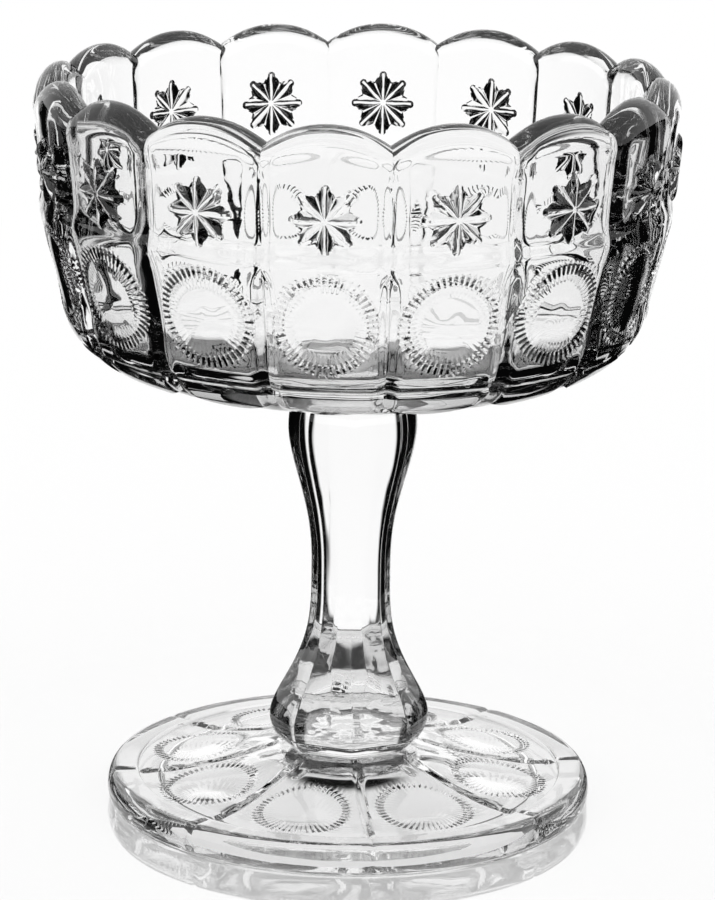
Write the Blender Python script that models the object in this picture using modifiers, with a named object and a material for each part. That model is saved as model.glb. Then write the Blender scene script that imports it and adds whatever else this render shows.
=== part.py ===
"""Footed candy dish in clear pressed glass: a scalloped bowl on an eight-sided stem and a round foot.

Metres, +Z up. The origin is the middle of the foot's underside. A panel joint of the bowl and a groove of
the foot face -Y, and a ridge of the stem stands a few degrees from it.
"""

import math

import bmesh
import bpy
from mathutils import Vector

# Joints between the pressings
JOINT_GAP = 0.0003
BOWL_WAFER_THICKNESS = 0.0012
FOOT_WAFER_THICKNESS = 0.0034
WAFER_INSET = 0.0010
WAFER_STEPS = 24

# Foot: heights are above the table, radii from the axis
FOOT_RADIUS = 0.0636
FOOT_BASE_RADIUS = 0.0624
FOOT_EDGE_HEIGHT = 0.0036
FOOT_RIM_HEIGHT = 0.0083
FOOT_RIM_WIDTH = 0.0082
FOOT_RIM_STEP = 0.0009
FOOT_SEAT_HEIGHT = 0.0150
FOOT_SEAT_RADIUS = 0.0185
FOOT_DOME_POWER = 1.8
FOOT_RECESS_RADIUS = 0.0500
FOOT_RECESS_DEPTH = 0.0018
FOOT_HOLLOW_RISE = 0.0062
FOOT_SECTORS = 8
FOOT_GROOVE_WIDTH = 0.0030
FOOT_GROOVE_DEPTH = 0.0009
FOOT_GROOVE_START = 0.0215
FOOT_RING_PLACE = 0.0410
FOOT_CROWN_SHARE = 0.3
FOOT_RECESS_SLOPE = 2.0
FOOT_STEPS = 40
FOOT_DOME_STEPS = 6
FOOT_HOLLOW_STEPS = 4
FOOT_GROOVE_STEPS = 6

# Stem: heights are above its own lower end, radii to the ridges
STEM_SIDES = 8
STEM_TURN = -3.7
STEM_LENGTH = 0.0890
STEM_BASE_RADIUS = 0.0176
STEM_BULB_RADIUS = 0.0209
STEM_BULB_HEIGHT = 0.0050
STEM_WAIST_RADIUS = 0.01035
STEM_WAIST_HEIGHT = 0.0440
STEM_SHOULDER_RADIUS = 0.01675
STEM_SHOULDER_HEIGHT = 0.0823
STEM_TOP_RADIUS = 0.0152
STEM_LOWER_EASE = 1.85
STEM_UPPER_EASE = 1.30
STEM_RIDGE_ROUND = 0.0007
STEM_RIDGE_ANGLE = 30.0
STEM_RIDGE_STEPS = 2
STEM_STEPS = 9

# Bowl: heights are above its seat on the stem, radii from the axis to the middle of a panel
PANELS = 16
BOWL_HEIGHT = 0.0842
BOWL_RIM_RADIUS = 0.0825
BOWL_RIM_START = 0.0762
BOWL_CREST_RADIUS = 0.0763
BOWL_NECK_RADIUS = 0.0804
BOWL_NECK_HEIGHT = 0.0567
BOWL_SHOULDER_RADIUS = 0.0808
BOWL_SHOULDER_HEIGHT = 0.0490
BOWL_MIDDLE_RADIUS = 0.0772
BOWL_MIDDLE_HEIGHT = 0.0350
BOWL_LOWER_RADIUS = 0.0757
BOWL_LOWER_HEIGHT = 0.0280
BOWL_BASE_RADIUS = 0.0508
BOWL_BASE_HEIGHT = 0.0075
BOWL_CREASE_HEIGHT = 0.0167
BOWL_CREASE_WIDTH = 0.0022
BOWL_CREASE_DEPTH = 0.0010
BOWL_SEAT_RADIUS = 0.0170
BOWL_MOUTH_RADIUS = 0.0733
BOWL_MOUTH_DROP = 0.0047
BOWL_WALL = 0.0078
BOWL_FLOOR_HEIGHT = 0.0167
BOWL_FLOOR_RISE = 0.0019
BOWL_FLOOR_RADIUS = 0.0600
BOWL_INNER_CORNER = 0.0070
SCALLOP_DROP = 0.0051
SCALLOP_START = 0.0706
SCALLOP_POWER = 2.1
PANEL_ROLL = 0.0009
PANEL_ROLL_POWER = 1.5
PANEL_FIELD = 0.74
GROOVE_DEPTH = 0.0006
GROOVE_WIDTH = 0.0032
GROOVE_AT_CREST = 0.35
PANEL_SIDE = 0.6
WALL_STEPS = 1

# Relief on every panel and sector
STAR_HEIGHT_ON_BOWL = 0.0618
STAR_RADIUS = 0.0088
STAR_VALLEY_RADIUS = 0.0076
STAR_POINTS = 8
STAR_RELIEF = 0.0016
STAR_MIDDLE = 0.55
STAR_RIDGE_SHARE = 0.83
STAR_VALLEY_SHARE = 0.30
RING_HEIGHT_ON_BOWL = 0.0354
RING_RADIUS = 0.01135
RING_WIDTH = 0.0035
RING_RELIEF = 0.0009
RELIEF_DIP = 0.0006
RELIEF_ROOT = 0.0022
RING_SEGMENTS = 16
RING_SIDES = 4

# Steps to a quarter arc, and the distance below which points become one
ARC_STEPS = 4
RIM_ARC_STEPS = 3
SMALL_ARC_STEPS = 2
WELD = 0.00001

GLASS_COLOUR = (0.97, 0.985, 0.98, 1.0)
GLASS_ROUGHNESS = 0.03
GLASS_IOR = 1.51

# Where each pressing stands
FOOT_WAFER_Z = FOOT_SEAT_HEIGHT + JOINT_GAP
STEM_Z = FOOT_WAFER_Z + FOOT_WAFER_THICKNESS + JOINT_GAP
BOWL_WAFER_Z = STEM_Z + STEM_LENGTH + JOINT_GAP
BOWL_Z = BOWL_WAFER_Z + BOWL_WAFER_THICKNESS + JOINT_GAP


def clear_scene():
    for old in list(bpy.data.objects):
        bpy.data.objects.remove(old, do_unlink=True)


def new_collection(name):
    collection = bpy.data.collections.new(name)
    bpy.context.scene.collection.children.link(collection)
    return collection


def glass(name):
    """Clear pressed glass, fire polished."""
    material = bpy.data.materials.new(name)
    material.use_nodes = True
    shader = material.node_tree.nodes["Principled BSDF"]
    shader.inputs["Base Color"].default_value = GLASS_COLOUR
    shader.inputs["Roughness"].default_value = GLASS_ROUGHNESS
    shader.inputs["Metallic"].default_value = 0.0
    shader.inputs["IOR"].default_value = GLASS_IOR
    shader.inputs["Transmission Weight"].default_value = 1.0
    return material


def smooth_step(t):
    return t * t * (3.0 - 2.0 * t)


def blend(a, b, t):
    return a + (b - a) * t


def spaced(count, first=0, last=1):
    """Even steps from 0 to 1, with either end left out where first or last says so."""
    return [i / count for i in range(first, count + last)]


def quarter_arc(start, end, count, upright_first):
    """Quarter of an ellipse between two (radius, height) points, count steps, the start left out.

    It leaves the start upright and reaches the end level, or the other way round.
    """
    points = []
    for t in spaced(count, first=1):
        angle = t * math.pi / 2.0
        if upright_first:
            r = blend(end[0], start[0], math.cos(angle))
            z = blend(start[1], end[1], math.sin(angle))
        else:
            r = blend(start[0], end[0], math.sin(angle))
            z = blend(end[1], start[1], math.cos(angle))
        points.append((r, z))
    return points


def curve_through(knots, count):
    """Smooth curve through (radius, height) knots, count steps to a span, the first knot left out."""
    padded = [knots[0]] + list(knots) + [knots[-1]]
    points = []
    for a, b, c, d in zip(padded, padded[1:], padded[2:], padded[3:]):
        for t in spaced(count, first=1):
            weights = (
                -0.5 * t + t * t - 0.5 * t ** 3,
                1.0 - 2.5 * t * t + 1.5 * t ** 3,
                0.5 * t + 2.0 * t * t - 1.5 * t ** 3,
                -0.5 * t * t + 0.5 * t ** 3,
            )
            spot = [sum(w * k[i] for w, k in zip(weights, (a, b, c, d))) for i in (0, 1)]
            points.append(tuple(spot))
    return points


def add_object(name, mesh, collection, material=None):
    part = bpy.data.objects.new(name, mesh)
    collection.objects.link(part)
    if material:
        mesh.materials.append(material)
    return part


def finish_mesh(bm, name):
    """Welds a bmesh, turns its faces outwards and hands it back as a mesh."""
    bmesh.ops.remove_doubles(bm, verts=bm.verts, dist=WELD)
    bmesh.ops.recalc_face_normals(bm, faces=bm.faces)
    mesh = bpy.data.meshes.new(name)
    bm.to_mesh(mesh)
    bm.free()
    return mesh


def turned(name, profile, steps, collection, material):
    """Turns a profile of (radius, height) points, outer side from top to bottom, about +Z."""
    mesh = bpy.data.meshes.new(name)
    edges = [(i, i + 1) for i in range(len(profile) - 1)]
    mesh.from_pydata([(r, 0.0, z) for r, z in profile], edges, [])
    part = add_object(name, mesh, collection, material)
    screw = part.modifiers.new("turn", "SCREW")
    screw.steps = steps
    screw.render_steps = steps
    screw.use_merge_vertices = True
    screw.merge_threshold = WELD
    screw.use_smooth_shade = True
    return part


def cut_or_join(part, tool, operation, label):
    boolean = part.modifiers.new(label, "BOOLEAN")
    boolean.operation = operation
    boolean.solver = "EXACT"
    boolean.object = tool


def tool_object(name, bm, collection, parent):
    """A cutter or a boss: built where it works, never drawn."""
    tool = add_object(name, finish_mesh(bm, name), collection)
    tool.parent = parent
    tool.hide_render = True
    tool.display_type = "WIRE"
    return tool


def skin(bm, sections, closed_section, closed_run):
    """Faces between sections of equally many points. A run that isn't closed gets a cap at each end."""
    rows = [[bm.verts.new(point) for point in section] for section in sections]
    count = len(rows[0])
    pairs = list(zip(rows, rows[1:]))
    if closed_run:
        pairs.append((rows[-1], rows[0]))
    for a, b in pairs:
        for i in range(count if closed_section else count - 1):
            j = (i + 1) % count
            bm.faces.new((a[i], a[j], b[j], b[i]))
    if not closed_run:
        bm.faces.new(rows[0])
        bm.faces.new(rows[-1])


def star_boss(bm, wrap):
    """Star of pointed ridges, two facets to a point, rooted in the wall behind it.

    wrap puts (across, along, height) on the carrying surface. The facets run on below that surface, so the
    outline falls where they cut it.
    """
    ridge = STAR_RIDGE_SHARE * STAR_RELIEF
    valley = STAR_VALLEY_SHARE * STAR_RELIEF
    over = 1.0 + (1.0 - STAR_MIDDLE) * RELIEF_DIP / ridge
    rows = [
        (0.0, STAR_RELIEF, STAR_RELIEF),
        (STAR_MIDDLE, ridge, valley),
        (over, -RELIEF_DIP, -RELIEF_DIP),
        (over, -RELIEF_ROOT, -RELIEF_ROOT),
        (STAR_MIDDLE, -RELIEF_ROOT, -RELIEF_ROOT),
        (0.0, -RELIEF_ROOT, -RELIEF_ROOT),
    ]
    sections = []
    for share, on_ridge, in_valley in rows:
        section = []
        for i in range(2 * STAR_POINTS):
            turn = i * math.pi / STAR_POINTS
            reach, lift = (STAR_VALLEY_RADIUS, in_valley) if i % 2 else (STAR_RADIUS, on_ridge)
            section.append(wrap(share * reach * math.cos(turn), share * reach * math.sin(turn), lift))
        sections.append(section)
    skin(bm, sections, closed_section=True, closed_run=False)


def ring_boss(bm, wrap):
    """Rounded ring of oval section on the carrying surface."""
    sections = []
    for i in range(RING_SEGMENTS):
        turn = 2.0 * math.pi * i / RING_SEGMENTS
        section = []
        for j in range(RING_SIDES):
            side = 2.0 * math.pi * j / RING_SIDES
            reach = RING_RADIUS + 0.5 * RING_WIDTH * math.cos(side)
            lift = (RING_RELIEF if math.sin(side) > 0 else RELIEF_ROOT) * math.sin(side)
            section.append(wrap(reach * math.cos(turn), reach * math.sin(turn), lift))
        sections.append(section)
    skin(bm, sections, closed_section=True, closed_run=True)


def wafer(name, radius, thickness, z, collection, parent):
    """Disc of clear glass that was hot when the pressings were joined on it."""
    bm = bmesh.new()
    bmesh.ops.create_cone(
        bm, cap_ends=True, segments=WAFER_STEPS, radius1=radius, radius2=radius, depth=thickness
    )
    bmesh.ops.translate(bm, verts=bm.verts, vec=(0.0, 0.0, thickness / 2.0))
    part = add_object(name, finish_mesh(bm, name), collection, glass(name + "_glass"))
    part.location.z = z
    part.parent = parent
    return part


def foot_top(r):
    """Height of the foot's upper face inside its rim band: a dome that falls to the band's step."""
    band = FOOT_RADIUS - FOOT_RIM_WIDTH
    low = FOOT_RIM_HEIGHT - FOOT_RIM_STEP
    t = min(max((band - r) / (band - FOOT_SEAT_RADIUS), 0.0), 1.0)
    return blend(low, FOOT_SEAT_HEIGHT, t ** FOOT_DOME_POWER)


def foot_profile():
    """Section of the foot: dome, rim band and edge, then the hollow underneath, which follows the dome."""
    band = FOOT_RADIUS - FOOT_RIM_WIDTH
    crown = FOOT_RADIUS - FOOT_CROWN_SHARE * FOOT_RIM_WIDTH
    dome = [blend(FOOT_SEAT_RADIUS, band, t) for t in spaced(FOOT_DOME_STEPS)]
    profile = [(0.0, FOOT_SEAT_HEIGHT)]
    profile += [(r, foot_top(r)) for r in dome]
    profile += [(band + FOOT_RIM_STEP, FOOT_RIM_HEIGHT)]
    profile += [(crown, FOOT_RIM_HEIGHT)]
    profile += quarter_arc(profile[-1], (FOOT_RADIUS, FOOT_EDGE_HEIGHT), ARC_STEPS, upright_first=False)
    profile += [(FOOT_BASE_RADIUS, 0.0), (FOOT_RECESS_RADIUS, 0.0)]
    inner = FOOT_RECESS_RADIUS - FOOT_RECESS_SLOPE * FOOT_RECESS_DEPTH
    for t in spaced(FOOT_HOLLOW_STEPS):
        rise = FOOT_HOLLOW_RISE * t ** FOOT_DOME_POWER
        profile.append((blend(inner, FOOT_SEAT_RADIUS, t), FOOT_RECESS_DEPTH + rise))
    profile.append((0.0, FOOT_RECESS_DEPTH + FOOT_HOLLOW_RISE))
    return profile


def on_foot(angle, reach):
    """Puts a relief's own (across, along, height) on the foot's upper face at that angle and radius."""
    def wrap(across, along, height):
        r = reach + along
        turn = angle + across / reach
        return Vector((r * math.cos(turn), r * math.sin(turn), foot_top(r) + height))
    return wrap


def groove_cutter(bm, angle):
    """Three-sided bar that follows the dome and cuts one radial groove."""
    end = FOOT_RADIUS - FOOT_RIM_WIDTH - FOOT_RIM_STEP
    corners = (
        (-FOOT_GROOVE_WIDTH, FOOT_GROOVE_DEPTH),
        (FOOT_GROOVE_WIDTH, FOOT_GROOVE_DEPTH),
        (0.0, -FOOT_GROOVE_DEPTH),
    )
    sections = []
    for t in spaced(FOOT_GROOVE_STEPS):
        wrap = on_foot(angle, blend(FOOT_GROOVE_START, end, t))
        sections.append([wrap(across, 0.0, height) for across, height in corners])
    skin(bm, sections, closed_section=True, closed_run=False)


def build_foot(parts, tools, parent):
    foot = turned("foot", foot_profile(), FOOT_STEPS, parts, glass("foot_glass"))
    foot.parent = parent
    sector = 2.0 * math.pi / FOOT_SECTORS
    grooves = bmesh.new()
    rings = bmesh.new()
    for i in range(FOOT_SECTORS):
        groove_cutter(grooves, i * sector)
        ring_boss(rings, on_foot((i + 0.5) * sector, FOOT_RING_PLACE))
    cut_or_join(foot, tool_object("foot_grooves", grooves, tools, parent), "DIFFERENCE", "grooves")
    cut_or_join(foot, tool_object("foot_rings", rings, tools, parent), "UNION", "rings")
    return foot


def stem_profile():
    top = (STEM_TOP_RADIUS, STEM_LENGTH)
    shoulder = (STEM_SHOULDER_RADIUS, STEM_SHOULDER_HEIGHT)
    bulb = (STEM_BULB_RADIUS, STEM_BULB_HEIGHT)
    profile = [(0.0, STEM_LENGTH), top]
    profile += quarter_arc(top, shoulder, RIM_ARC_STEPS, upright_first=False)
    for t in spaced(STEM_STEPS, first=1, last=0):
        r = blend(STEM_SHOULDER_RADIUS, STEM_WAIST_RADIUS, 1.0 - smooth_step((1.0 - t) ** STEM_UPPER_EASE))
        profile.append((r, blend(STEM_SHOULDER_HEIGHT, STEM_WAIST_HEIGHT, t)))
    for t in spaced(STEM_STEPS, last=0):
        r = blend(STEM_WAIST_RADIUS, STEM_BULB_RADIUS, smooth_step(t ** STEM_LOWER_EASE))
        profile.append((r, blend(STEM_WAIST_HEIGHT, STEM_BULB_HEIGHT, t)))
    profile.append(bulb)
    profile += quarter_arc(bulb, (STEM_BASE_RADIUS, 0.0), ARC_STEPS, upright_first=True)
    profile.append((0.0, 0.0))
    return profile


def build_stem(parts, parent):
    stem = turned("stem", stem_profile(), STEM_SIDES, parts, glass("stem_glass"))
    stem.location.z = STEM_Z
    stem.rotation_euler.z = math.radians(STEM_TURN)
    ridges = stem.modifiers.new("ridges", "BEVEL")
    ridges.limit_method = "ANGLE"
    ridges.angle_limit = math.radians(STEM_RIDGE_ANGLE)
    ridges.width = STEM_RIDGE_ROUND
    ridges.segments = STEM_RIDGE_STEPS
    stem.parent = parent
    return stem


def outer_knots():
    """Outer wall of a panel's middle line, from the rim down to where the base turns under."""
    return [
        (BOWL_RIM_RADIUS, BOWL_RIM_START),
        (BOWL_NECK_RADIUS, BOWL_NECK_HEIGHT),
        (BOWL_SHOULDER_RADIUS, BOWL_SHOULDER_HEIGHT),
        (BOWL_MIDDLE_RADIUS, BOWL_MIDDLE_HEIGHT),
        (BOWL_LOWER_RADIUS, BOWL_LOWER_HEIGHT),
    ]


def turn_under():
    """Curve from the wall down under the bowl, with the crease that parts panels from the lower tier."""
    lower = (BOWL_LOWER_RADIUS, BOWL_LOWER_HEIGHT)
    base = (BOWL_BASE_RADIUS, BOWL_BASE_HEIGHT)
    half = 0.5 * BOWL_CREASE_WIDTH
    arc = quarter_arc(lower, base, ARC_STEPS, upright_first=True)
    points = [p for p in arc if abs(p[1] - BOWL_CREASE_HEIGHT) > half]
    for step, depth in ((half, 0.0), (0.0, BOWL_CREASE_DEPTH), (-half, 0.0)):
        z = BOWL_CREASE_HEIGHT + step
        down = (lower[1] - z) / (lower[1] - base[1])
        points.append((blend(base[0], lower[0], math.sqrt(1.0 - down * down)) - depth, z))
    return sorted(points, key=lambda p: p[1], reverse=True)


def bowl_outside():
    rim = (BOWL_RIM_RADIUS, BOWL_RIM_START)
    crest = (BOWL_CREST_RADIUS, BOWL_HEIGHT)
    profile = [crest]
    profile += quarter_arc(crest, rim, RIM_ARC_STEPS, upright_first=False)
    profile += curve_through(outer_knots(), WALL_STEPS)
    profile += turn_under()
    profile += [(BOWL_SEAT_RADIUS, 0.0), (0.0, 0.0)]
    return profile


def bowl_inside():
    crest = (BOWL_CREST_RADIUS, BOWL_HEIGHT)
    mouth = (BOWL_MOUTH_RADIUS, BOWL_HEIGHT - BOWL_MOUTH_DROP)
    floor_edge = (BOWL_FLOOR_RADIUS, BOWL_FLOOR_HEIGHT + BOWL_FLOOR_RISE)
    wall_foot = (BOWL_FLOOR_RADIUS + BOWL_INNER_CORNER, floor_edge[1] + BOWL_INNER_CORNER)
    lowest = wall_foot[1] + BOWL_INNER_CORNER
    wall = [(r - BOWL_WALL, z) for r, z in outer_knots() if lowest < z < BOWL_RIM_START]
    profile = [(0.0, BOWL_FLOOR_HEIGHT), floor_edge]
    profile += list(reversed(quarter_arc(wall_foot, floor_edge, SMALL_ARC_STEPS, upright_first=True)[:-1]))
    profile += [wall_foot]
    profile += curve_through([wall_foot] + wall[::-1] + [mouth], 1)
    profile += list(reversed(quarter_arc(crest, mouth, SMALL_ARC_STEPS, upright_first=False)[:-1]))
    return profile


def lobe_share(r, z):
    """How strongly the panels shape the outside: fully on the wall, fading over the rim and underneath."""
    if z > BOWL_RIM_START:
        return blend(1.0, GROOVE_AT_CREST, (z - BOWL_RIM_START) / (BOWL_HEIGHT - BOWL_RIM_START))
    under = (r - BOWL_BASE_RADIUS) / (BOWL_LOWER_RADIUS - BOWL_BASE_RADIUS)
    return min(max(under, 0.0), 1.0)


def bowl_point(r, z, turn, across, outside):
    """Place of a section point. across runs from -1 to 1 over a panel, and its ends are panel joints.

    Outside, a panel is plain over its field and rolls off towards the joints.
    """
    drop = SCALLOP_DROP * abs(across) ** SCALLOP_POWER
    high = max(z - SCALLOP_START, 0.0) / (BOWL_HEIGHT - SCALLOP_START)
    if outside:
        half_panel = math.pi * BOWL_RIM_RADIUS / PANELS
        from_joint = (1.0 - abs(across)) * half_panel / (0.5 * GROOVE_WIDTH)
        groove = GROOVE_DEPTH * max(1.0 - from_joint, 0.0)
        past_field = max(abs(across) - PANEL_FIELD, 0.0) / (1.0 - PANEL_FIELD)
        r -= lobe_share(r, z) * (PANEL_ROLL * past_field ** PANEL_ROLL_POWER + groove)
    return Vector((r * math.cos(turn), r * math.sin(turn), z - drop * high))


def wall_radius(z):
    """Outer radius of a panel's middle line at a height."""
    spots = [(BOWL_RIM_RADIUS, BOWL_RIM_START)] + curve_through(outer_knots(), WALL_STEPS)
    for above, below in zip(spots, spots[1:]):
        if below[1] <= z <= above[1]:
            return blend(below[0], above[0], (z - below[1]) / (above[1] - below[1]))
    return BOWL_LOWER_RADIUS


def on_bowl(panel_turn, z_middle):
    """Puts a relief's own (across, along, height) on the outside of one panel."""
    half_turn = math.pi / PANELS

    def wrap(across, along, height):
        z = z_middle + along
        r = wall_radius(z)
        offset = across / r
        spot = bowl_point(r, z, panel_turn + offset, offset / half_turn, outside=True)
        out = Vector((spot.x, spot.y, 0.0)).normalized()
        return spot + out * height
    return wrap


def bowl_mesh():
    """Skin between unlike sections: scalloped panels outside, a plain round inside, one over the rim."""
    half_panel = math.pi * BOWL_RIM_RADIUS / PANELS
    joint = 0.5 * GROOVE_WIDTH / half_panel
    stations = [-1.0, joint - 1.0, -PANEL_SIDE, 0.0, PANEL_SIDE, 1.0 - joint]
    inside = bowl_inside()
    outside = bowl_outside()
    half_turn = math.pi / PANELS
    rows = [(p, False) for p in inside] + [(p, True) for p in outside]
    columns = []
    for panel in range(PANELS):
        for across in stations:
            turn = (2 * panel + 1 + across) * half_turn
            columns.append([bowl_point(r, z, turn, across, out) for (r, z), out in rows])
    bm = bmesh.new()
    skin(bm, columns, closed_section=False, closed_run=True)
    return finish_mesh(bm, "bowl")


def build_bowl(parts, tools, parent):
    bowl = add_object("bowl", bowl_mesh(), parts, glass("bowl_glass"))
    bowl.location.z = BOWL_Z
    bowl.parent = parent
    bosses = bmesh.new()
    for panel in range(PANELS):
        turn = (2 * panel + 1) * math.pi / PANELS
        star_boss(bosses, on_bowl(turn, STAR_HEIGHT_ON_BOWL))
        ring_boss(bosses, on_bowl(turn, RING_HEIGHT_ON_BOWL))
    relief = tool_object("bowl_relief", bosses, tools, parent)
    relief.location.z = BOWL_Z
    cut_or_join(bowl, relief, "UNION", "relief")
    return bowl


def build_dish():
    clear_scene()
    parts = new_collection("candy_dish")
    tools = new_collection("cutters")
    frame = bpy.data.objects.new("candy_dish_frame", None)
    parts.objects.link(frame)
    build_foot(parts, tools, frame)
    foot_disc = FOOT_SEAT_RADIUS - WAFER_INSET
    wafer("foot_wafer", foot_disc, FOOT_WAFER_THICKNESS, FOOT_WAFER_Z, parts, frame)
    build_stem(parts, frame)
    bowl_disc = min(BOWL_SEAT_RADIUS, STEM_TOP_RADIUS * math.cos(math.pi / STEM_SIDES)) - WAFER_INSET
    wafer("bowl_wafer", bowl_disc, BOWL_WAFER_THICKNESS, BOWL_WAFER_Z, parts, frame)
    build_bowl(parts, tools, frame)


build_dish()
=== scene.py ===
import bmesh
import bpy
import numpy as np
from mathutils import Matrix, Vector


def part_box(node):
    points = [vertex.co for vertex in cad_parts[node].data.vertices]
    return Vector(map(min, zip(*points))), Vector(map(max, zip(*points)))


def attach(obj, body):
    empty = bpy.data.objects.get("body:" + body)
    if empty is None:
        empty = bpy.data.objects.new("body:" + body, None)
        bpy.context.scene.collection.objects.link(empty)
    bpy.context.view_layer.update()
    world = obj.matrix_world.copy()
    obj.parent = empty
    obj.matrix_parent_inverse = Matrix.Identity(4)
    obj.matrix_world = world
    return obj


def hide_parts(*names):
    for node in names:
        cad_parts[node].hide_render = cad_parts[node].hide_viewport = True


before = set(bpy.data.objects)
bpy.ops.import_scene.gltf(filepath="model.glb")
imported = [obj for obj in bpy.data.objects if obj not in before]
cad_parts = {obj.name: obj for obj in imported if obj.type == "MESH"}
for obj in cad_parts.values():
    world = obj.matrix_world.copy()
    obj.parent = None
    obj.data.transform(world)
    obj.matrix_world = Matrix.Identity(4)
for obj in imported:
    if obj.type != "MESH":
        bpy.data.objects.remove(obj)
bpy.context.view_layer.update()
print("frame loaded:", ", ".join(sorted(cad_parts)))

mm = 0.001  # the sizes of the dish below are written in millimetres


# sRGB hex to linear colour, with alpha 1
def hexColour(code):
    srgb = np.array([int(code[i:i + 2], 16) for i in (1, 3, 5)]) / 255.0
    linear = np.where(srgb <= 0.04045, srgb / 12.92, ((srgb + 0.055) / 1.055) ** 2.4)
    return (*linear, 1.0)


# one node with its settings; an input is a plain value or a socket to link from
def addNode(tree, kind, inputs=None, **settings):
    node = tree.nodes.new(kind)
    for name, value in settings.items():
        setattr(node, name, value)
    for key, value in (inputs or {}).items():
        if isinstance(value, bpy.types.NodeSocket):
            tree.links.new(value, node.inputs[key])
        else:
            node.inputs[key].default_value = value
    return node


# smooth rise from 0 to 1 between two values
def ease(value, low, high):
    t = np.clip((value - low) / (high - low), 0.0, 1.0)
    return t * t * (3.0 - 2.0 * t)


# quarter of an ellipse from start to end, upright where it starts or where it ends
def quarterArc(start, end, count, uprightFirst):
    angle = np.linspace(0.0, np.pi / 2.0, count + 1)
    a, b = (np.cos(angle), np.sin(angle)) if uprightFirst else (1.0 - np.sin(angle), 1.0 - np.cos(angle))
    return np.stack([end[0] + (start[0] - end[0]) * a, start[1] + (end[1] - start[1]) * b], -1)


# Catmull-Rom curve through (radius, height) knots, count steps to a span
def throughKnots(knots, count):
    k = np.array([knots[0], *knots, knots[-1]], float)
    t = np.linspace(0.0, 1.0, count, endpoint=False)[:, None]
    spans = [
        0.5 * (2 * b + (c - a) * t + (2 * a - 5 * b + 4 * c - d) * t**2 + (3 * b - a - 3 * c + d) * t**3)
        for a, b, c, d in zip(k, k[1:], k[2:], k[3:])
    ]
    return np.concatenate(spans + [k[-1:]])


# quads of a grid of rows by columns, closed round the columns
def gridFaces(rows, columns):
    i, j = np.meshgrid(np.arange(rows - 1), np.arange(columns), indexing="ij")
    k = (j + 1) % columns
    near, far = i * columns, (i + 1) * columns
    return np.stack([near + j, near + k, far + k, far + j], -1).reshape(-1, 4)


# the quads of a patch once more for each of count copies, whose points follow one another
def repeatFaces(quads, pointCount, count):
    starts = np.arange(count)[:, None, None] * pointCount
    return (quads[None] + starts).reshape(-1, 4)


# turns every point of a patch about Z, once for each of count places
def repeatRound(points, count):
    turn = 2.0 * np.pi * np.arange(count)[:, None, None] / count
    x, y, z = points[..., 0], points[..., 1], points[..., 2]
    c, n = np.cos(turn), np.sin(turn)
    return np.stack([x * c - y * n, x * n + y * c, z + 0.0 * turn], -1)


# points on a circle about Z: angle 0 faces -Y and grows towards +X
def aroundAxis(radius, turn, height):
    return np.stack([radius * np.sin(turn), -radius * np.cos(turn), height + 0.0 * turn], -1)


# one closed piece from patches of points (mm) and quads: joined, welded, faces outwards, shaded smooth
# but for edges sharper than creaseDegrees, then put on the CAD body in place of its nodes
def makePiece(name, patches, material, creaseDegrees, nodes):
    starts = np.cumsum([0] + [len(points) for points, _ in patches])
    points = np.concatenate([p for p, _ in patches]) * mm
    quads = np.concatenate([q + start for (_, q), start in zip(patches, starts)])
    mesh = bpy.data.meshes.new(name)
    mesh.vertices.add(len(points))
    mesh.vertices.foreach_set("co", points.ravel())
    mesh.loops.add(quads.size)
    mesh.loops.foreach_set("vertex_index", quads.ravel())
    mesh.polygons.add(len(quads))
    mesh.polygons.foreach_set("loop_start", np.arange(0, quads.size, 4))
    mesh.update(calc_edges=True)
    bm = bmesh.new()
    bm.from_mesh(mesh)
    bmesh.ops.remove_doubles(bm, verts=bm.verts, dist=0.004 * mm)  # welds the patches at their seams
    bmesh.ops.recalc_face_normals(bm, faces=bm.faces)
    openEdges = sum(1 for e in bm.edges if not e.is_manifold)
    bm.to_mesh(mesh)
    bm.free()
    mesh.shade_smooth()
    mesh.set_sharp_from_angle(angle=np.radians(creaseDegrees))
    mesh.materials.append(material)
    piece = bpy.data.objects.new(name, mesh)
    bpy.context.scene.collection.objects.link(piece)
    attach(piece, "root")
    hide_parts(*nodes)
    triangles = sum(len(p.vertices) - 2 for p in mesh.polygons)
    print(f"{name}: {triangles} triangles, {openEdges} open edges")
    return piece


# a polar grid round a motif that ends on a four-sided outline: rows go from the centre out to the motif's
# edge, then blend to the outline. outline has 4n points and starts at its lower right corner.
def motifGrid(edgeRadius, shares, turn, outline, blends):
    direction = np.stack([np.cos(turn), np.sin(turn)], -1)
    inner = [direction * (share * edgeRadius)[:, None] for share in shares]
    edge = inner[-1]
    outer = [edge + (outline - edge) * b for b in blends]
    return np.stack(inner + outer)


# the 4n points round a rectangle, n to a side, as two coordinates from 0 to 1
def rectangleWalk(n):
    step = np.arange(n) / n
    one, zero = np.ones(n), np.zeros(n)
    across = np.concatenate([one, 1.0 - step, zero, step])
    up = np.concatenate([step, one, 1.0 - step, zero])
    return across, up


# notched ring: 3 samples to a notch, one of them at the bottom of the groove between two bars
def notchLift(sampleCount, low, high):
    wave = np.array([0.0, 1.0, 1.0])
    return low + (high - low) * np.tile(wave, sampleCount // 3)


sideSteps = 36  # grid steps to a side of a motif's outline, so a ring has 4 * 36 samples and 48 notches
motifTurn = -np.pi / 4.0 + 2.0 * np.pi * np.arange(4 * sideSteps) / (4 * sideSteps)
ringStyle = {
    "inner": 10.0, "outer": 13.1,  # radii of the notched band
    "dome": 0.6,  # swell of the smooth lens inside the band
    "lensShares": [0.0, 0.35, 0.7],
    "bandShares": [(0.0, 0.0), (0.16, 0.75), (0.5, 1.0), (0.84, 0.75), (1.0, 0.0)],  # place, height
    "blends": [0.22, 0.45, 0.65, 0.83, 1.0],
}


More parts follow.
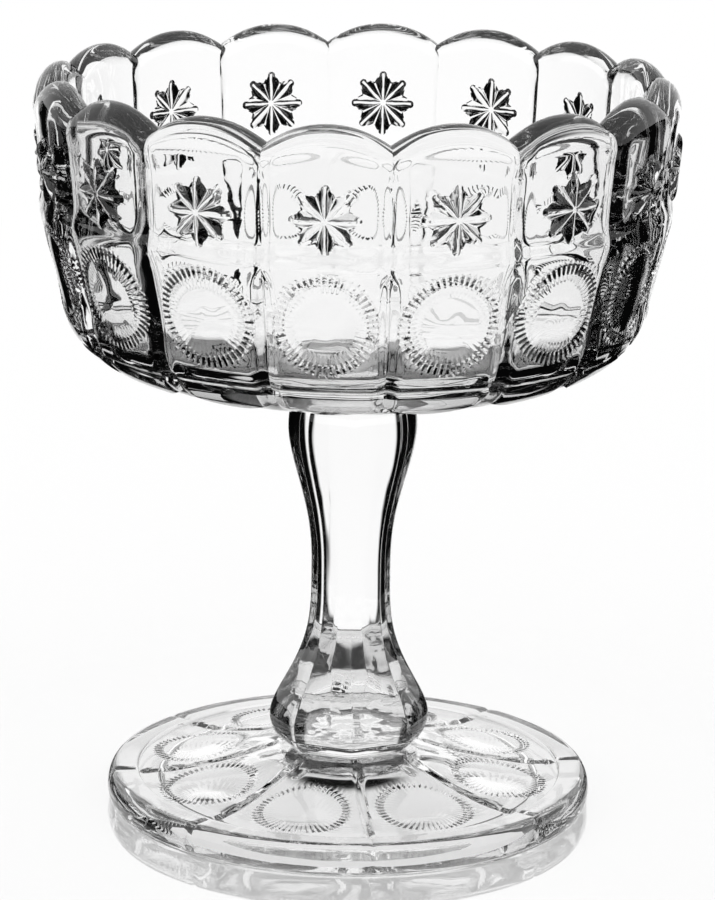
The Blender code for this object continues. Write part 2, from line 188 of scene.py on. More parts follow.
# rows of a notched ring on an outline, and the lift of each point: low in a groove and high on a bar
def ringGrid(outline, low, high):
    s = ringStyle
    shares = [share * s["inner"] for share in s["lensShares"]]
    shares += [s["inner"] + place * (s["outer"] - s["inner"]) for place, _ in s["bandShares"]]
    spots = motifGrid(np.ones(len(motifTurn)), shares, motifTurn, outline, s["blends"])
    notches = notchLift(len(motifTurn), low, high)
    lens = [s["dome"] * (1.0 - share**2) + 0.0 * notches for share in s["lensShares"]]
    band = [height * notches for _, height in s["bandShares"]]
    flat = [0.0 * notches for _ in s["blends"]]
    return spots, np.stack(lens + band + flat)


glassStyle = {
    "index": 1.51, "depthLoss": 1.0,  # soda-lime glass, and what it takes of the light per metre
    "rippleDetail": 1.0, "rippleRough": 0.4,
    "hazeSize": 22.0, "hazeDetail": 3.0, "hazeFrom": 0.35, "hazeTo": 0.75, "hazeRough": 0.008,
}


# clear soda-lime glass, pressed in a mould and fire polished: the flame leaves it slick, with slow ripples
# where the mould chilled it, drawn out along the height of the stem, which bend what is seen through it;
# handling leaves a breath of haze. Ripples are waves of rippleSize, rippleDepth high, both in mm
def pressedGlass(name, rippleSize, rippleDepth, rippleStretch=1.0):
    s = glassStyle
    material = bpy.data.materials.new(name)
    material.use_nodes = True
    tree = material.node_tree
    tree.nodes.clear()
    place = addNode(tree, "ShaderNodeTexCoord").outputs["Object"]
    drawn = addNode(
        tree, "ShaderNodeMapping", {"Vector": place, "Scale": (1.0, 1.0, 1.0 / rippleStretch)},
    )
    ripple = addNode(
        tree, "ShaderNodeTexNoise",
        {
            "Vector": drawn.outputs[0], "Scale": 1.0 / (rippleSize * mm),
            "Detail": s["rippleDetail"], "Roughness": s["rippleRough"],
        },
    )
    bump = addNode(
        tree, "ShaderNodeBump",
        {"Height": ripple.outputs["Fac"], "Strength": 1.0, "Distance": rippleDepth * mm},
    )
    haze = addNode(
        tree, "ShaderNodeTexNoise",
        {"Vector": place, "Scale": 1.0 / (s["hazeSize"] * mm), "Detail": s["hazeDetail"]},
    )
    rough = addNode(
        tree, "ShaderNodeMapRange",
        {
            "Value": haze.outputs["Fac"], "From Min": s["hazeFrom"], "From Max": s["hazeTo"],
            "To Min": 0.0, "To Max": s["hazeRough"],
        },
    )
    glass = addNode(
        tree, "ShaderNodeBsdfPrincipled",
        {
            "Base Color": hexColour("#ffffff"), "Metallic": 0.0, "Transmission Weight": 1.0,
            "IOR": s["index"], "Roughness": rough.outputs["Result"], "Normal": bump.outputs["Normal"],
        },
    )
    body = addNode(
        tree, "ShaderNodeVolumeAbsorption", {"Color": hexColour("#000000"), "Density": s["depthLoss"]},
    )
    addNode(tree, "ShaderNodeOutputMaterial", {"Surface": glass.outputs["BSDF"], "Volume": body.outputs[0]})
    return material


# Bowl
bowlStyle = {
    "panels": 16, "rimRadius": 82.3, "rimStart": 76.2, "crestRadius": 76.3,
    "neck": (80.4, 56.7), "shoulder": (80.8, 49.0), "middle": (77.2, 35.0), "lower": (75.7, 28.0),
    "base": (50.8, 7.5), "seatRadius": 17.0,
    "mouthRadius": 73.3, "mouthDrop": 4.7, "wall": 7.8,
    "floorHeight": 16.7, "floorRise": 1.9, "floorRadius": 60.0, "innerCorner": 7.0,
    "scallop": 5.1, "scallopStart": 70.6, "scallopPower": 2.1,
    "floorRadii": [40.0, 18.0, 0.0], "floorShares": [0.62, 0.15, 0.0],  # the floor dips to its middle
    "roll": 0.9, "rollFrom": 0.74, "rollPower": 1.5,  # a panel's sides roll off to the joint
    "channel": 0.2, "channelFlat": 0.25, "channelHalf": 1.1,
    "channelFrom": 46.5, "channelRise": 0.8, "channelTo": 75.5, "channelTip": 6.0,
    "fadeInset": 2.0, "rimFade": 0.65,  # the carving fades towards the base and over the rim
    "crease": 16.7, "creaseHalf": 1.1, "creaseDepth": 1.0,  # parts the panels from the lower tier
    "petalJoint": 68.0, "petalMiddle": 61.5, "petalPower": 1.6,  # where the lower tier's lobes end
    "petalStep": 0.6, "petalEdge": 0.5,
    "underRadius": 34.0, "underHeight": 3.8,  # on the way from the base to the seat
    "valley": 0.9, "valleyHalf": 3.2, "valleyFrom": 44.0, "valleyTo": 50.0,  # shallow dip between two rings
    "starPoints": 8, "starHeight": 61.8, "starTip": 9.8, "starBlunt": 8.8, "starValley": 6.3,
    "starRelief": 1.5, "starDepth": 2.4, "starHub": 0.12, "starFall": 0.78,
    "facetFrom": 0.1, "facetWidth": 0.8,
    "starShares": [0.0, 0.12, 0.3, 0.5, 0.7, 0.85, 0.95, 1.0],
    "starBlends": [0.22, 0.42, 0.55, 0.68, 0.78, 0.87, 0.94, 1.0],
    "ringHeight": 35.4, "ringLow": -0.4, "ringHigh": 0.15,
    "blockLow": 19.5, "blockMiddle": 50.4, "blockTop": 75.2,
    "sharpAngle": 24.0,
}


# the bowl's outline: a quarter ellipse over the rim, a curve through knots down the wall and a quarter
# ellipse to the base
def makeBowl(material):
    s = bowlStyle
    low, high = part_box("bowl")
    seat, height = low.z / mm, (high.z - low.z) / mm
    halfTurn = np.pi / s["panels"]
    rim, crest = (s["rimRadius"], s["rimStart"]), (s["crestRadius"], height)
    rimArc = quarterArc(crest, rim, 24, uprightFirst=False)
    wallCurve = throughKnots([rim, s["neck"], s["shoulder"], s["middle"], s["lower"]], 24)
    baseArc = quarterArc(s["lower"], s["base"], 24, uprightFirst=True)
    outside = np.concatenate([rimArc, wallCurve[1:], baseArc[1:]])[::-1]  # from the base up to the crest

    # the wall's radius, read off the outline at a height
    def wallRadius(z):
        return np.interp(z, outside[:, 1], outside[:, 0])

    # a panel's point: the wall's radius less the rolled side, the channel at the joint (a slot that narrows
    # to a tip) and the valley below it, plus lift; over the rim the height drops towards the joint by a
    # power of |u|, where u goes from -1 to 1 across the panel
    def panelPoint(u, z, r, lift, carved):
        joint = (1.0 - np.abs(u)) * halfTurn * r
        narrow = np.sqrt(np.clip((s["channelTo"] - z) / s["channelTip"], 0.0004, 1.0))
        channel = s["channel"] * (1.0 - ease(joint / narrow, s["channelFlat"], s["channelHalf"]))
        channel = channel * ease(z - s["channelFrom"], 0.0, s["channelRise"])
        dip = s["valley"] * (1.0 - ease(joint, 0.0, s["valleyHalf"]))
        dip = dip * (1.0 - ease(z, s["valleyFrom"], s["valleyTo"]))
        fade = ease(r, s["base"][0], s["lower"][0] - s["fadeInset"])
        fade = fade * (1.0 - s["rimFade"] * ease(z, s["rimStart"], height))
        side = np.clip((np.abs(u) - s["rollFrom"]) / (1.0 - s["rollFrom"]), 0.0, 1.0)
        roll = s["roll"] * side ** s["rollPower"]
        r = r + lift - carved * fade * (roll + channel + dip)
        climb = np.clip((z - s["scallopStart"]) / (height - s["scallopStart"]), 0.0, 1.0)
        z = z - s["scallop"] * np.abs(u) ** s["scallopPower"] * climb
        return aroundAxis(r, (1.0 + u) * halfTurn, seat + z)

    # one motif's part of the wall, from zLow to zHigh, on every panel
    def block(zLow, zHigh, zMotif, gridOf):
        across, up = rectangleWalk(sideSteps)
        u, z = 2.0 * across - 1.0, zLow + (zHigh - zLow) * up
        outline = np.stack([u * halfTurn * wallRadius(z), z - zMotif], -1)
        spots, lift = gridOf(outline)
        z = zMotif + spots[..., 1]
        r = wallRadius(z)
        u = np.clip(spots[..., 0] / (halfTurn * r), -1.0, 1.0)
        points = panelPoint(u, z, r, lift, 1.0)
        rows, columns = points.shape[:2]
        allPoints = repeatRound(points.reshape(1, -1, 3), s["panels"]).reshape(-1, 3)
        quads = gridFaces(rows, columns)
        return allPoints, repeatFaces(quads, rows * columns, s["panels"])

    # star: its edge is straight from tip to valley, with the tips cut blunt; ridges run level from a small
    # flat hub and drop at the tips, valleys fall evenly to a little below the wall, and each facet is
    # straight between the two lines
    def starGrid(outline):
        sector = motifTurn * s["starPoints"] / (2.0 * np.pi)
        t = 2.0 * np.abs(sector - np.round(sector))
        beta = np.pi / s["starPoints"]
        a, b, phi = s["starTip"], s["starValley"], t * beta
        edge = a * b * np.sin(beta) / (b * np.sin(beta - phi) + a * np.sin(phi))
        edge = np.minimum(edge, s["starBlunt"])
        shares = np.array(s["starShares"])
        spots = motifGrid(edge, shares, motifTurn, outline, s["starBlends"])
        ridge = s["starRelief"] * (1.0 - shares**8)[:, None]
        fall = np.clip((shares - s["starHub"]) / s["starFall"], 0.0, 1.0)
        valley = s["starRelief"] - s["starDepth"] * fall[:, None]
        valley[-1] = 0.0
        across = np.clip((t - s["facetFrom"]) / s["facetWidth"], 0.0, 1.0)
        lift = ridge + (np.minimum(valley, ridge) - ridge) * across
        flat = np.zeros((len(s["starBlends"]), len(motifTurn)))
        return spots, np.concatenate([lift, flat])

    def ringBlock(outline):
        return ringGrid(outline, s["ringLow"], s["ringHigh"])

    u = np.tile(-1.0 + 2.0 * np.arange(sideSteps) / sideSteps, s["panels"])
    panelTurn = np.repeat(2.0 * halfTurn * np.arange(s["panels"]), sideSteps)

    # rows of radius and height, each one value or one for every column, carried round every panel
    def roundGrid(r, z, carved):
        r, z = r + 0.0 * u, z + 0.0 * u
        points = panelPoint(u + 0.0 * r, z, r, 0.0, np.asarray(carved)[:, None])
        c, n = np.cos(panelTurn), np.sin(panelTurn)
        x, y = points[..., 0] * c - points[..., 1] * n, points[..., 0] * n + points[..., 1] * c
        points = np.stack([x, y, points[..., 2]], -1)
        return points.reshape(-1, 3), gridFaces(len(r), len(u))

    wallFoot = (s["floorRadius"] + s["innerCorner"], s["floorHeight"] + s["floorRise"] + s["innerCorner"])
    floorEdge = (s["floorRadius"], s["floorHeight"] + s["floorRise"])
    mouth = (s["mouthRadius"], height - s["mouthDrop"])
    innerNeck = (s["neck"][0] - s["wall"], s["neck"][1])
    innerMiddle = (s["middle"][0] - s["wall"], s["middle"][1])
    rimZ = np.linspace(s["blockTop"], s["rimStart"], 2)
    overRim = np.concatenate([
        np.stack([wallRadius(rimZ), rimZ], -1),
        quarterArc(crest, rim, 7, uprightFirst=False)[-2::-1],
        quarterArc(crest, mouth, 5, uprightFirst=False)[1:],
        throughKnots([mouth, innerNeck, innerMiddle, wallFoot], 3)[1:],
        quarterArc(wallFoot, floorEdge, 5, uprightFirst=True)[1:],
        np.stack([s["floorRadii"], s["floorHeight"] + s["floorRise"] * np.array(s["floorShares"])], -1),
    ])
    # the rolled sides and channels go on over the rim and fade out inside the mouth
    carved = np.where(np.arange(len(overRim)) <= 8, 1.0, 0.0)
    carved[9:13] = [0.6, 0.3, 0.1, 0.0]
    crease, half = s["crease"], s["creaseHalf"]
    lowZ = np.concatenate([[s["blockLow"]], crease + np.array([1.9, half, 0.5, 0.0, -0.5, -half])])
    sunk = s["creaseDepth"] * np.clip(1.0 - np.abs(lowZ - crease) / half, 0.0, 1.0)
    tierR, tierZ = (wallRadius(lowZ) - sunk)[:, None] + 0.0 * u, lowZ[:, None] + 0.0 * u
    # lower tier: rows run from the crease to an arc under each panel, step up a little and go on to the
    # base, and from there to the seat
    reach = s["petalMiddle"] + (s["petalJoint"] - s["petalMiddle"]) * np.abs(u) ** s["petalPower"]
    lobe = tierR[-1] + (reach - tierR[-1]) * np.linspace(0.2, 1.0, 5)[:, None]
    start = reach - s["petalEdge"]
    plain = start + (s["base"][0] - start) * np.linspace(0.0, 1.0, 4)[:, None]
    underR = np.concatenate([lobe, plain])
    share = np.clip((underR - s["base"][0]) / (s["lower"][0] - s["base"][0]), 0.0, 1.0)
    underZ = s["lower"][1] + (s["base"][1] - s["lower"][1]) * np.sqrt(1.0 - share**2)
    underZ[5:] += s["petalStep"] * np.array([1.0, 1.0, 0.6, 0.0])[:, None]
    lastR = np.array([[s["underRadius"]], [s["seatRadius"]], [0.0]]) + 0.0 * u
    lastZ = np.array([[s["underHeight"]], [0.0], [0.0]]) + 0.0 * u
    underR, underZ = np.concatenate([tierR, underR, lastR]), np.concatenate([tierZ, underZ, lastZ])
    patches = [
        block(s["blockMiddle"], s["blockTop"], s["starHeight"], starGrid),
        block(s["blockLow"], s["blockMiddle"], s["ringHeight"], ringBlock),
        roundGrid(overRim[:, :1], overRim[:, 1:], carved),
        roundGrid(underR, underZ, np.ones(len(underR))),
    ]
    return makePiece("pressedBowl", patches, material, s["sharpAngle"], ["bowl"])


# Stem
stemStyle = {
    "sides": 8, "ridgeTurn": -3.7, "bulbRadius": 20.9, "bulbHeight": 3.7,
    "contactRadius": 16.3, "contactDrop": 3.4,  # where the bulb's curve meets the foot, below the stem's end
    "waistRadius": 10.35, "waistHeight": 44.0,
    "shoulderRadius": 16.75, "shoulderHeight": 82.3, "topRadius": 15.2,
    "lowerEase": 1.85, "upperEase": 1.3, "sharpAngle": 35.0,
    "ridgeRound": 0.02, "ridgeFrom": 0.7, "ridgeTo": 1.1,  # share of the radius that the flame took off
    # columns on a flat, close together at its ridges
    "across": [-1.0, -0.96, -0.9, -0.8, -0.6, -0.3, 0.0, 0.3, 0.6, 0.8, 0.9, 0.96],
}


# eight flats: turn of each column and the share of the radius there, that of a straight side with its
# ridges eased down, set so that the largest share is 1
def eightFlats():
    s = stemStyle
    half = np.pi / s["sides"]
    across = np.tile(s["across"], s["sides"])
    turn = half * (across + 1.0) + np.repeat(2.0 * half * np.arange(s["sides"]), len(s["across"]))
    edge = np.abs(across)
    polished = s["ridgeRound"] * ease(edge, s["ridgeFrom"], s["ridgeTo"])
    share = np.cos(half) / np.cos(half * edge) * (1.0 - polished)
    return turn + np.radians(s["ridgeTurn"]), share / share.max()


# the bulb's rounding below its widest place: a quarter ellipse that goes on into the lower wafer and ends
# at the foot; heights are from the stem's lower end
def bulbRound(z):
    s = stemStyle
    t = np.clip((s["bulbHeight"] - z) / (s["bulbHeight"] + s["contactDrop"]), 0.0, 1.0)
    return s["contactRadius"] + (s["bulbRadius"] - s["contactRadius"]) * np.sqrt(1.0 - t**2)


# the stem's outline: from waist to shoulder and from waist to bulb the radius eases over a power of the way
def makeStem(material):
    s = stemStyle
    low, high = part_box("stem")
    foot, length = low.z / mm, (high.z - low.z) / mm
    up = np.linspace(0.0, 1.0, 40)
    upper = ease(up**s["upperEase"], 0.0, 1.0)
    lower = ease(up**s["lowerEase"], 0.0, 1.0)
    shoulder = (s["shoulderRadius"], s["shoulderHeight"])
    bulbZ = np.linspace(s["bulbHeight"], 0.0, 13)
    profile = np.concatenate([
        [(0.0, length), (0.5 * s["topRadius"], length)],
        quarterArc((s["topRadius"], length), shoulder, 8, uprightFirst=False),
        np.stack([
            s["waistRadius"] + (s["shoulderRadius"] - s["waistRadius"]) * upper,
            s["waistHeight"] + (s["shoulderHeight"] - s["waistHeight"]) * up,
        ], -1)[-2::-1],
        np.stack([
            s["waistRadius"] + (s["bulbRadius"] - s["waistRadius"]) * lower,
            s["waistHeight"] + (s["bulbHeight"] - s["waistHeight"]) * up,
        ], -1)[1:],
        np.stack([bulbRound(bulbZ), bulbZ], -1)[1:],
        [(0.5 * bulbRound(0.0), 0.0), (0.0, 0.0)],
    ])
    turn, share = eightFlats()
    points = aroundAxis(profile[:, :1] * share, turn + 0.0 * profile[:, :1], foot + profile[:, 1:])
    quads = gridFaces(len(profile), len(turn))
    patches = [(points.reshape(-1, 3), quads)]
    return makePiece("pressedStem", patches, material, s["sharpAngle"], ["stem"])


# Foot
footStyle = {
    "sectors": 8, "radius": 63.6, "baseRadius": 62.4, "edgeHeight": 3.6,
    "rimHeight": 8.3, "rimWidth": 8.2, "rimStep": 0.9, "stepWidth": 1.2, "crownShare": 0.3,
    "seatRadius": 18.5, "domePower": 1.8, "innerRadii": [20.2, 19.3], "seatMiddle": 8.0,
    "standRadius": 56.0, "recessRadius": 50.0, "recessDepth": 1.8,
    # radius and rise of the hollow underneath, above the recess
    "hollowKnots": [
        (46.4, 0.0), (40.0, 0.44), (34.0, 1.44), (28.0, 2.93),
        (23.0, 4.5), (18.0, 5.75), (11.0, 6.35), (0.0, 6.5),
    ],
    "grooveDepth": 0.9, "grooveFlat": 0.15, "grooveHalf": 1.6, "grooveFrom": 0.2, "grooveTo": 1.8,
    "nickDepth": 0.35, "nickHalf": 0.8,
    "ringPlace": 41.0, "ringLow": -0.25, "ringHigh": 0.1, "blockIn": 21.0,
    "sharpAngle": 28.0,
}


# the foot's outline: dome, step, flat band, rounded edge, flat stand, recess and hollow
def makeFoot(material):
    s = footStyle
    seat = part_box("foot")[1].z / mm
    band = s["radius"] - s["rimWidth"]
    halfTurn = np.pi / s["sectors"]

    # dome: falls from the seat to the band's step by a power of the way
    def topHeight(r):
        t = np.clip((band - r) / (band - s["seatRadius"]), 0.0, 1.0)
        low = s["rimHeight"] - s["rimStep"]
        return low + (seat - low) * t ** s["domePower"]

    # radial groove at each sector's side, a shallow dip that ends before the seat and at the band
    def groove(r, turn):
        away = r * np.sin(np.clip(halfTurn - np.abs(turn), 0.0, None))
        along = ease(r - s["seatRadius"], s["grooveFrom"], s["grooveTo"])
        along = along * (1.0 - ease(r, band - s["stepWidth"], band))
        return s["grooveDepth"] * (1.0 - ease(away, s["grooveFlat"], s["grooveHalf"])) * along

    across, up = rectangleWalk(sideSteps)
    side, reach = (2.0 * across - 1.0) * halfTurn, s["blockIn"] + (band - s["blockIn"]) * up
    outline = np.stack([reach * np.sin(side), reach * np.cos(side) - s["ringPlace"]], -1)
    spots, lift = ringGrid(outline, s["ringLow"], s["ringHigh"])
    r = np.hypot(spots[..., 0], spots[..., 1] + s["ringPlace"])
    turn = np.arctan2(spots[..., 0], spots[..., 1] + s["ringPlace"])
    points = aroundAxis(r, turn + halfTurn, topHeight(r) + lift - groove(r, turn))
    rows, columns = points.shape[:2]
    sectorPoints = repeatRound(points.reshape(1, -1, 3), s["sectors"]).reshape(-1, 3)
    sectorQuads = repeatFaces(gridFaces(rows, columns), rows * columns, s["sectors"])

    j = np.arange(sideSteps * s["sectors"])
    allTurn = 2.0 * np.pi * j / len(j)
    localTurn = (allTurn % (2.0 * halfTurn)) - halfTurn

    # rows of (radius, height) carried round; where two sectors meet, a fine nick lowers the top of the band
    # and cuts into its side, and the groove goes on inwards
    def roundGrid(profile, nicked):
        r, z = profile[:, :1] + 0.0 * allTurn, profile[:, 1:] + 0.0 * allTurn
        away = r * np.sin(np.clip(halfTurn - np.abs(localTurn), 0.0, None))
        nick = np.asarray(nicked)[:, None] * s["nickDepth"] * (1.0 - ease(away, 0.0, s["nickHalf"]))
        z = z - nick * (z > 6.0) - groove(r, localTurn + 0.0 * r) * (z > 7.0) * (r <= band)
        r = r - nick * (r > band + 3.0)
        points = aroundAxis(r, allTurn + 0.0 * r, z)
        return points.reshape(-1, 3), gridFaces(len(profile), len(j))

    inR = np.array([s["blockIn"], *s["innerRadii"], s["seatRadius"]])
    inner = np.concatenate([np.stack([inR, topHeight(inR)], -1), [(s["seatMiddle"], seat), (0.0, seat)]])
    crown = (s["radius"] - s["crownShare"] * s["rimWidth"], s["rimHeight"])
    stepEnd = (band + s["stepWidth"], s["rimHeight"])
    step = quarterArc((band, topHeight(band)), stepEnd, 4, uprightFirst=True)
    bandR = np.linspace(stepEnd[0], crown[0], 5)
    edge = (s["radius"], s["edgeHeight"])
    # hollow underneath: a smooth curve that follows the dome and levels off in the middle
    hollow = throughKnots([(r, s["recessDepth"] + rise) for r, rise in s["hollowKnots"]], 3)
    outer = np.concatenate([
        step,
        np.stack([bandR, s["rimHeight"] + 0.0 * bandR], -1)[1:],
        quarterArc(crown, edge, 8, uprightFirst=False)[1:],
        quarterArc(edge, (s["baseRadius"], 0.0), 5, uprightFirst=True)[1:],
        [(s["standRadius"], 0.0), (s["recessRadius"], 0.0)],
        quarterArc((s["recessRadius"], 0.0), hollow[0], 4, uprightFirst=True)[1:],
        hollow[1:],
    ])
    nicked = np.where((outer[:, 1] > 2.0) & (outer[:, 0] > band + 0.5), 1.0, 0.0)
    patches = [
        (sectorPoints, sectorQuads),
        roundGrid(inner, np.zeros(len(inner))),
        roundGrid(outer, nicked),
    ]
    return makePiece("pressedFoot", patches, material, s["sharpAngle"], ["foot"])


# Wafers: thin discs, pressed to the stem's eight flats while hot; the lower one was drawn out under the bulb
# and carries on its curve. They run a little into both neighbours, as fused glass does, so that no false
# film of air shows at the joint
waferStyle = {
    "sink": 0.45, "spread": 0.1, "inset": 0.02, "topInset": 0.3, "arcSteps": 12, "middle": 0.6,
    "sharpAngle": 35.0,
}


def makeWafer(name, node, material, underBulb):
    s = waferStyle
    low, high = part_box(node)
    radius, bottom, top = high.x / mm, low.z / mm - s["sink"], high.z / mm + s["sink"]
    edge = quarterArc((radius + s["spread"], top), (radius + s["spread"], bottom), 6, uprightFirst=True)
    if underBulb:
        z = -stemStyle["contactDrop"] * np.sin(np.linspace(0.0, np.pi / 2.0, s["arcSteps"] + 1))
        arc = np.stack([bulbRound(z) - s["inset"], z + high.z / mm], -1)
        edge = np.concatenate([[(arc[0, 0] - s["topInset"], top)], arc, [(arc[-1, 0], bottom)]])
    middle = s["middle"] * radius
    profile = np.concatenate([[(0.0, top), (middle, top)], edge, [(middle, bottom), (0.0, bottom)]])
    turn, share = eightFlats()
    points = aroundAxis(profile[:, :1] * share, turn + 0.0 * profile[:, :1], profile[:, 1:])
    quads = gridFaces(len(profile), len(turn))
    patches = [(points.reshape(-1, 3), quads)]
    return makePiece(name, patches, material, s["sharpAngle"], [node])


makeBowl(pressedGlass("bowlPressedGlass", rippleSize=14.0, rippleDepth=0.06))
makeStem(pressedGlass("stemPressedGlass", rippleSize=4.0, rippleDepth=0.16, rippleStretch=8.0))
makeFoot(pressedGlass("footPressedGlass", rippleSize=9.0, rippleDepth=0.08))
waferGlass = pressedGlass("waferFusedGlass", rippleSize=6.0, rippleDepth=0.05)
makeWafer("bowlWafer", "bowl_wafer", waferGlass, underBulb=False)
makeWafer("footWafer", "foot_wafer", waferGlass, underBulb=True)


# Studio: white for the eye and for the light on the floor, but what glass shows is a dark room with a white
# floor and a lit wall behind the dish, the same again off to the sides and in front, and a lamp overhead.
# Lengths are in metres, the ahead and around edges are cosines of the turn from straight behind the dish
studioStyle = {
    "ahead": 6.2, "aheadEdge": 0.858, "aheadSoft": 0.016,  # the white behind: its turn in degrees, its edge
    "aroundEdge": 0.62, "aroundSoft": 0.06,  # white again beyond this
    "fadeFrom": 1.5, "fadeTo": 5.5,  # times mirrored inside the glass over which the white behind fades
    "wallHigh": 0.5, "wallSoft": 0.1, "topFrom": 0.93, "topTo": 0.97,  # of the ray's rise, 0 to 1
    "dark": 0.002, "bright": 1.08,
    "floorSize": 40.0, "floorDrop": 0.0002,
    "floorOwn": 0.6,  # share of the near floor's white that is its own
    "floorNear": 0.20, "floorFar": 0.75,  # for the eye: where the sweep begins and takes over
    "floorGloss": 0.5, "glossNear": 0.08, "glossFar": 0.15,  # the mirror is clear near the foot and fades
    "glassNear": 0.064, "glassFar": 0.075,  # the same for what glass shows
    "paintedShadowBack": 0.007, "paintedShadowFrom": 0.010, "paintedShadowTo": 0.019,  # painted shadow: the floor is painted dark under the stem and a little behind it
}


# smooth rise of a value between two levels, as a node
def riseNode(tree, value, low, high, first=0.0, last=1.0):
    node = addNode(
        tree, "ShaderNodeMapRange",
        {"Value": value, "From Min": low, "From Max": high, "To Min": first, "To Max": last},
        interpolation_type="SMOOTHSTEP",
    )
    return node.outputs["Result"]


# one sum, product or other operation on sockets and numbers, as a node
def mathNode(tree, operation, *values):
    return addNode(tree, "ShaderNodeMath", dict(enumerate(values)), operation=operation).outputs[0]


# 1 for rays from the camera and for light on its way to a matt surface, also where it came through glass
def plainRays(tree, path):
    matt = mathNode(tree, "MINIMUM", path.outputs["Diffuse Depth"], 1.0)
    return mathNode(tree, "MAXIMUM", path.outputs["Is Camera Ray"], matt)


# share of white for a turn about Z: by the cosine of the turn from straight behind the dish, 1 near it, less
# for rays mirrored many times inside the glass, 0 to either side, and 1 again further round for rays that
# were bent but never mirrored on their way
def whiteParts(tree, path, parts):
    s = studioStyle
    turn = mathNode(tree, "ARCTAN2", parts.outputs["X"], parts.outputs["Y"])
    wave = mathNode(tree, "COSINE", mathNode(tree, "SUBTRACT", turn, float(np.radians(s["ahead"]))))
    mirrored = path.outputs["Glossy Depth"]
    ahead = riseNode(tree, wave, s["aheadEdge"] - s["aheadSoft"], s["aheadEdge"] + s["aheadSoft"])
    ahead = mathNode(tree, "MULTIPLY", ahead, riseNode(tree, mirrored, s["fadeTo"], s["fadeFrom"]))
    around = riseNode(tree, wave, s["aroundEdge"] + s["aroundSoft"], s["aroundEdge"] - s["aroundSoft"])
    around = mathNode(tree, "MULTIPLY", around, mathNode(tree, "LESS_THAN", mirrored, 0.5))
    return mathNode(tree, "MAXIMUM", ahead, around)


# white for plain rays, and for glass the lit share of white or at least the dark of the room
def roomLevel(tree, plain, share):
    s = studioStyle
    lit = mathNode(tree, "MAXIMUM", mathNode(tree, "MULTIPLY", share, s["bright"]), s["dark"])
    return addNode(tree, "ShaderNodeMix", {0: plain, 2: lit, 3: 1.0}).outputs[0]


# the room round the dish: the white parts up to the wall's top and a round lamp overhead
def makeWorld():
    s = studioStyle
    world = bpy.data.worlds.new("studio")
    world.use_nodes = True
    tree = world.node_tree
    tree.nodes.clear()
    path = addNode(tree, "ShaderNodeLightPath")
    direction = addNode(tree, "ShaderNodeTexCoord").outputs["Generated"]
    parts = addNode(tree, "ShaderNodeSeparateXYZ", {0: direction})
    height = parts.outputs["Z"]
    low = riseNode(tree, height, s["wallHigh"], s["wallHigh"] - s["wallSoft"])
    wall = mathNode(tree, "MULTIPLY", whiteParts(tree, path, parts), low)
    top = riseNode(tree, height, s["topFrom"], s["topTo"])
    once = mathNode(tree, "LESS_THAN", path.outputs["Ray Depth"], 2.5)
    # the room is white in the floor's mirror too
    mirrored = mathNode(tree, "MULTIPLY", path.outputs["Is Reflection Ray"], once)
    plain = mathNode(tree, "MAXIMUM", plainRays(tree, path), mirrored)
    level = roomLevel(tree, plain, mathNode(tree, "MAXIMUM", wall, top))
    light = addNode(tree, "ShaderNodeBackground", {"Color": hexColour("#ffffff"), "Strength": level})
    addNode(tree, "ShaderNodeOutputWorld", {"Surface": light.outputs[0]})
    bpy.context.scene.world = world
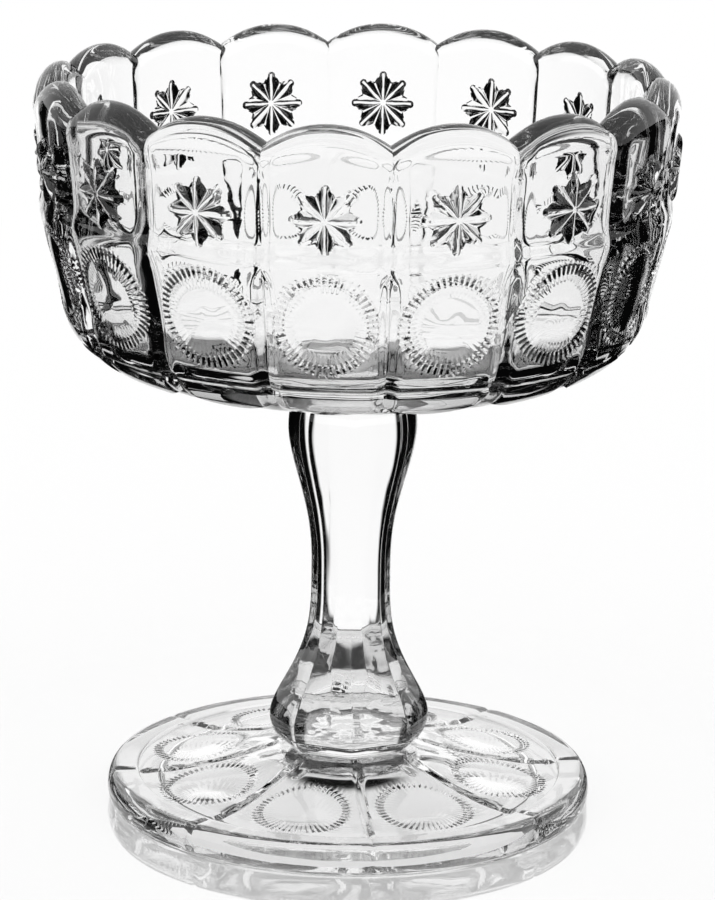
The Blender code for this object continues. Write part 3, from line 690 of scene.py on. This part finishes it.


# white acrylic sheet, polished: matt white with a faint mirror on it near the foot, so it carries a shadow
# and a reflection;
# under the stem and a little behind it a dark patch is painted in, a painted shadow; further off it is a
# plain white sweep
def makeFloor():
    s = studioStyle
    material = bpy.data.materials.new("whitePolishedAcrylic")
    material.use_nodes = True
    tree = material.node_tree
    tree.nodes.clear()
    path = addNode(tree, "ShaderNodeLightPath")
    place = addNode(tree, "ShaderNodeTexCoord").outputs["Object"]
    parts = addNode(tree, "ShaderNodeSeparateXYZ", {0: place})
    far = addNode(tree, "ShaderNodeVectorMath", {0: place}, operation="LENGTH").outputs["Value"]
    plain = plainRays(tree, path)
    forGlass = riseNode(tree, far, s["glassNear"], s["glassFar"])
    forEye = riseNode(tree, far, s["floorNear"], s["floorFar"])
    share = addNode(tree, "ShaderNodeMix", {0: plain, 2: forGlass, 3: forEye}).outputs[0]
    level = roomLevel(tree, plain, whiteParts(tree, path, parts))
    sweep = addNode(tree, "ShaderNodeEmission", {"Color": hexColour("#ffffff"), "Strength": level})
    white = addNode(tree, "ShaderNodeEmission", {"Color": hexColour("#ffffff"), "Strength": 1.0})
    matt = addNode(tree, "ShaderNodeBsdfDiffuse", {"Color": hexColour("#fefefe")})
    gloss = addNode(tree, "ShaderNodeBsdfGlossy", {"Color": hexColour("#ffffff"), "Roughness": 0.04})
    body = addNode(tree, "ShaderNodeMixShader", {0: s["floorOwn"], 1: matt.outputs[0], 2: white.outputs[0]})
    # painted shadow: a dark matt patch mixed into the floor under the stem and a little behind it
    paintedShadow = addNode(tree, "ShaderNodeBsdfDiffuse", {"Color": hexColour("#202020")})
    turn = np.radians(s["ahead"])
    stemFoot = (s["paintedShadowBack"] * np.sin(turn), s["paintedShadowBack"] * np.cos(turn), 0.0)
    away = addNode(tree, "ShaderNodeVectorMath", {0: place, 1: stemFoot}, operation="DISTANCE")
    paintedShadowMask = riseNode(tree, away.outputs["Value"], s["paintedShadowFrom"], s["paintedShadowTo"])
    body = addNode(tree, "ShaderNodeMixShader", {0: paintedShadowMask, 1: paintedShadow.outputs[0], 2: body.outputs[0]})
    fading = riseNode(tree, far, s["glossFar"], s["glossNear"], 0.0, s["floorGloss"])
    mirror = mathNode(tree, "MULTIPLY", plain, fading)
    near = addNode(tree, "ShaderNodeMixShader", {0: mirror, 1: body.outputs[0], 2: gloss.outputs[0]})
    both = addNode(tree, "ShaderNodeMixShader", {0: share, 1: near.outputs[0], 2: sweep.outputs[0]})
    addNode(tree, "ShaderNodeOutputMaterial", {"Surface": both.outputs[0]})
    bpy.ops.mesh.primitive_plane_add(size=s["floorSize"], location=(0.0, 0.0, -s["floorDrop"]))
    floor = bpy.context.object
    floor.name = "floor"
    floor.data.materials.append(material)


# Camera: at the photo's angle, worked out from the dish's outline; turned so that a panel joint shows a
# little right of the middle. Millimetres and degrees
cameraStyle = {
    "turn": 6.2, "distance": 1042.0, "height": 371.2, "aside": 1.3,
    "pitch": 14.88, "roll": 0.80, "lens": 165.97,
}


def makeCamera():
    s = cameraStyle
    turn, pitch, roll = (np.radians(s[k]) for k in ("turn", "pitch", "roll"))
    around = Matrix.Rotation(-turn, 3, "Z")
    forward = around @ Vector((0.0, np.cos(pitch), -np.sin(pitch)))
    level = around @ Vector((1.0, 0.0, 0.0))
    upright = around @ Vector((0.0, np.sin(pitch), np.cos(pitch)))
    right = np.cos(roll) * level + np.sin(roll) * upright
    up = np.cos(roll) * upright - np.sin(roll) * level
    data = bpy.data.cameras.new("camera")
    data.lens = s["lens"]
    camera = bpy.data.objects.new("camera", data)
    bpy.context.scene.collection.objects.link(camera)
    place = around @ Vector((s["aside"], -s["distance"], s["height"])) * mm
    turned = Matrix((right, up, -forward)).transposed().to_4x4()
    camera.matrix_world = Matrix.Translation(place) @ turned
    bpy.context.scene.camera = camera


makeWorld()
makeFloor()
makeCamera()
scene = bpy.context.scene
scene.view_settings.view_transform = "Standard"
scene.cycles.max_bounces = 28
scene.cycles.transmission_bounces = 28
scene.cycles.glossy_bounces = 12
print("studio and camera ready")
